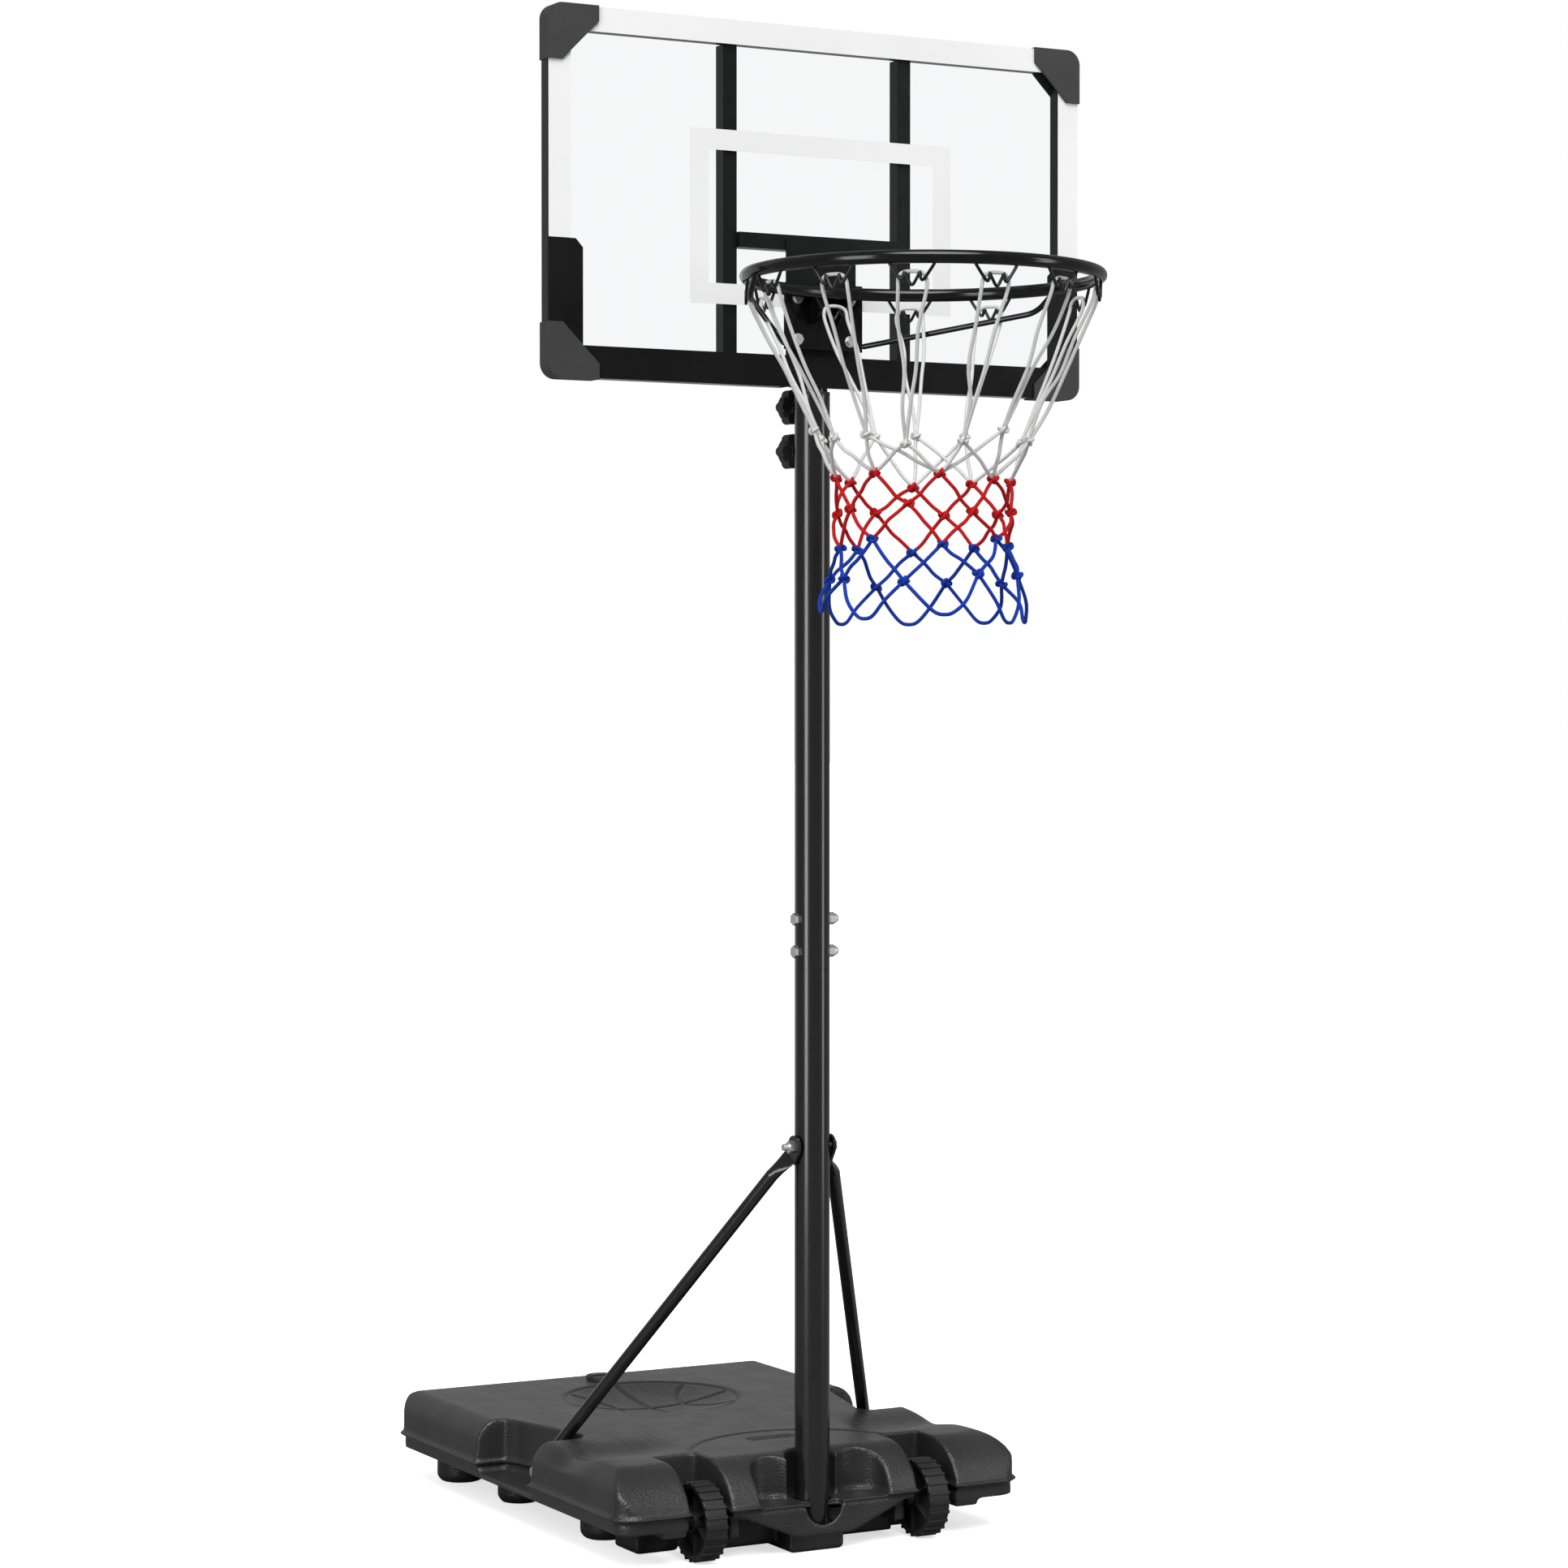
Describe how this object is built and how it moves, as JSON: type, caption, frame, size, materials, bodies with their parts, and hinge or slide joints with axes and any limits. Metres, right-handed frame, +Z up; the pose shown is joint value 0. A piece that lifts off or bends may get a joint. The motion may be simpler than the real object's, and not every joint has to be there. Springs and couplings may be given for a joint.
{
  "type": "portable basketball hoop",
  "caption": "Portable basketball hoop: clear framed backboard, ring with corded net, height-adjusting pole, diagonal struts and a wheeled ballast tank.",
  "frame": {"origin": "on the floor, under the axis of the pole, on the tank's centre foot pad", "axes": "+Z up along the pole, +Y from the court towards the back of the tank, +X to the right of a player who faces the board"},
  "size_m": [0.713, 1.0864, 1.7985],
  "materials": {
    "tank_plastic": "grained blow-moulded polyethylene, satin",
    "ballast_water": "stands in for water or sand, with about the density of water",
    "seal_rubber": "matte",
    "bright_steel": "zinc-plated, bright",
    "wheel_plastic": "moulded, satin",
    "pole_coating": "black powder coat, satin sheen",
    "guard_plastic": "moulded, matte",
    "knob_plastic": "moulded, fine grain",
    "frame_coating": "black powder coat, satin",
    "clear_panel": "clear, glossy, slightly frosted",
    "white_ink": "printed border",
    "black_ink": "printed border",
    "target_ink": "printed target",
    "black_screws": "black oxide",
    "ring_enamel": "gloss black",
    "net_cord": "braided cord in three bands of colour: white, red and blue"
  },
  "bodies": {
    "stand": {"base_tank": "tank_plastic", "ballast_fill": "ballast_water", "axle": "pole_coating", "axle_spacers": "tank_plastic", "axle_caps": "pole_coating", "lower_pole": "pole_coating", "pole_foot_plug": "tank_plastic", "middle_pole": "pole_coating", "pole_collar": "guard_plastic", "pole_joint_bolts": "bright_steel", "pole_joint_nuts": "bright_steel", "strut_left": "pole_coating", "strut_right": "pole_coating", "strut_pivot_bolt": "bright_steel", "strut_pivot_nut": "bright_steel", "strut_foot_bolts": "bright_steel", "strut_foot_inserts": "bright_steel", "knob_weld_nuts": "pole_coating"},
    "board_carriage": {"top_pole": "pole_coating", "glide_ring": "guard_plastic", "top_pole_cap": "guard_plastic", "mast_bracket": "frame_coating", "mast_clamp_bolts": "bright_steel", "mast_clamp_nuts": "bright_steel", "board_panel": "clear_panel", "border_print_white": "white_ink", "border_print_black": "black_ink", "target_print": "target_ink", "guard_screws": "black_screws", "frame_top_rail": "frame_coating", "frame_side_rail_left": "frame_coating", "frame_side_rail_right": "frame_coating", "frame_bottom_rail_left": "frame_coating", "frame_bottom_rail_right": "frame_coating", "frame_bar_left": "frame_coating", "frame_bar_right": "frame_coating", "frame_crossbar": "frame_coating", "corner_guard_top_left": "guard_plastic", "corner_guard_top_right": "guard_plastic", "corner_guard_bottom_left": "guard_plastic", "corner_guard_bottom_right": "guard_plastic", "rim_ring": "ring_enamel", "rim_bracket": "ring_enamel", "rim_brace_left": "ring_enamel", "rim_brace_right": "ring_enamel", "rim_bolts": "bright_steel", "rim_washers": "bright_steel", "rim_nuts": "bright_steel", "net_hooks": "ring_enamel", "net": "net_cord"},
    "wheel_left": {"wheel_left": "wheel_plastic"},
    "wheel_right": {"wheel_right": "wheel_plastic"},
    "upper_stud": {"upper_knob_stud": "bright_steel"},
    "lower_stud": {"lower_knob_stud": "bright_steel"},
    "upper_knob": {"upper_knob": "knob_plastic"},
    "lower_knob": {"lower_knob": "knob_plastic"},
    "cap_seal": {"cap_seal": "seal_rubber"},
    "filler_cap": {"filler_cap": "tank_plastic"}
  },
  "joints": [
    {"name": "height_slide", "type": "slide", "parent": "stand", "child": "board_carriage", "axis": [0, 0, 1], "range_m": [0, 0.45]},
    {"name": "wheel_left_spin", "type": "hinge", "parent": "stand", "child": "wheel_left", "pos_m": [-0.15, 0, 0.0479], "axis": [1, 0, 0], "continuous": true},
    {"name": "wheel_right_spin", "type": "hinge", "parent": "stand", "child": "wheel_right", "pos_m": [0.15, 0, 0.0479], "axis": [1, 0, 0], "continuous": true},
    {"name": "upper_stud_travel", "type": "slide", "parent": "stand", "child": "upper_stud", "axis": [0, 1, 0], "range_m": [0, 0.006]},
    {"name": "upper_knob_turn", "type": "hinge", "parent": "upper_stud", "child": "upper_knob", "pos_m": [0, 0.045, 1.357], "axis": [0, 1, 0], "range_deg": [0, 1440]},
    {"name": "lower_stud_travel", "type": "slide", "parent": "stand", "child": "lower_stud", "axis": [0, 1, 0], "range_m": [0, 0.006]},
    {"name": "lower_knob_turn", "type": "hinge", "parent": "lower_stud", "child": "lower_knob", "pos_m": [0, 0.045, 1.3045], "axis": [0, 1, 0], "range_deg": [0, 1440]},
    {"name": "cap_lift", "type": "slide", "parent": "stand", "child": "cap_seal", "axis": [0, 0, 1], "range_m": [0, 0.009]},
    {"name": "cap_turn", "type": "hinge", "parent": "cap_seal", "child": "filler_cap", "pos_m": [0, 0.572, 0.118], "axis": [0, 0, 1], "range_deg": [0, 1080]}
  ],
  "couplings": [
    {"joint": "upper_stud_travel", "follows": "upper_knob_turn", "m_per_rad": 0.00023873},
    {"joint": "lower_stud_travel", "follows": "lower_knob_turn", "m_per_rad": 0.00023873},
    {"joint": "cap_lift", "follows": "cap_turn", "m_per_rad": 0.00047746}
  ]
}
